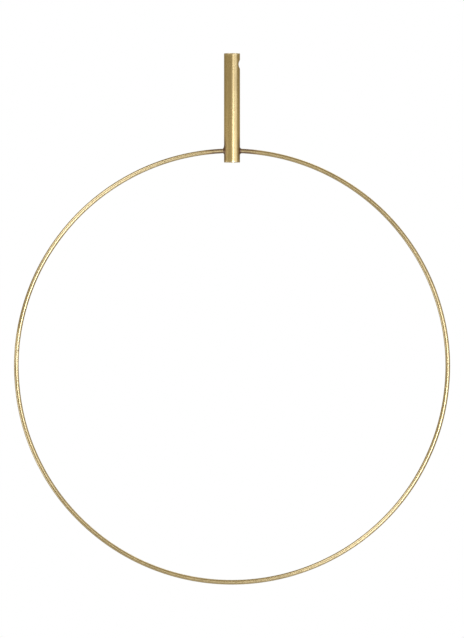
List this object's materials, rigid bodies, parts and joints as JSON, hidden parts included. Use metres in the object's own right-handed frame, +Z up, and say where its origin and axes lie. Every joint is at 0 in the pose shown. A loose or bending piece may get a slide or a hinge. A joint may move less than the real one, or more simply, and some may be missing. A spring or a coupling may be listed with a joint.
{
  "type": "wreath frame",
  "caption": "Round brass rod hoop brazed through the foot of a short open hanger tube, for tying greenery round and hanging as a wreath.",
  "frame": {"origin": "centre of the hanger tube's top opening", "axes": "+Z up along the hanger tube's bore, +Y towards the back, so the front faces -Y, and +X to the right as seen from the front, towards the wall with the hanging hole"},
  "size_m": [0.3, 0.011, 0.3654],
  "materials": {
    "satin_brass_tube": "satin, brushed round the tube and clear lacquered, with slightly aged colour",
    "drawn_brass_rod": "satin, with faint draw lines along the rod, clear lacquered",
    "ground_weld": "dressed flush by hand, with small pits left in it, lacquered over",
    "heat_stained_braze": "as cast brazing filler, brown to reddish from the torch"
  },
  "bodies": {
    "root": {"hanger_tube": "satin_brass_tube", "hoop_long_rod": "drawn_brass_rod", "hoop_short_rod": "drawn_brass_rod", "hoop_butt_weld": "ground_weld", "braze_right": "heat_stained_braze", "braze_left": "heat_stained_braze"}
  },
  "joints": []
}
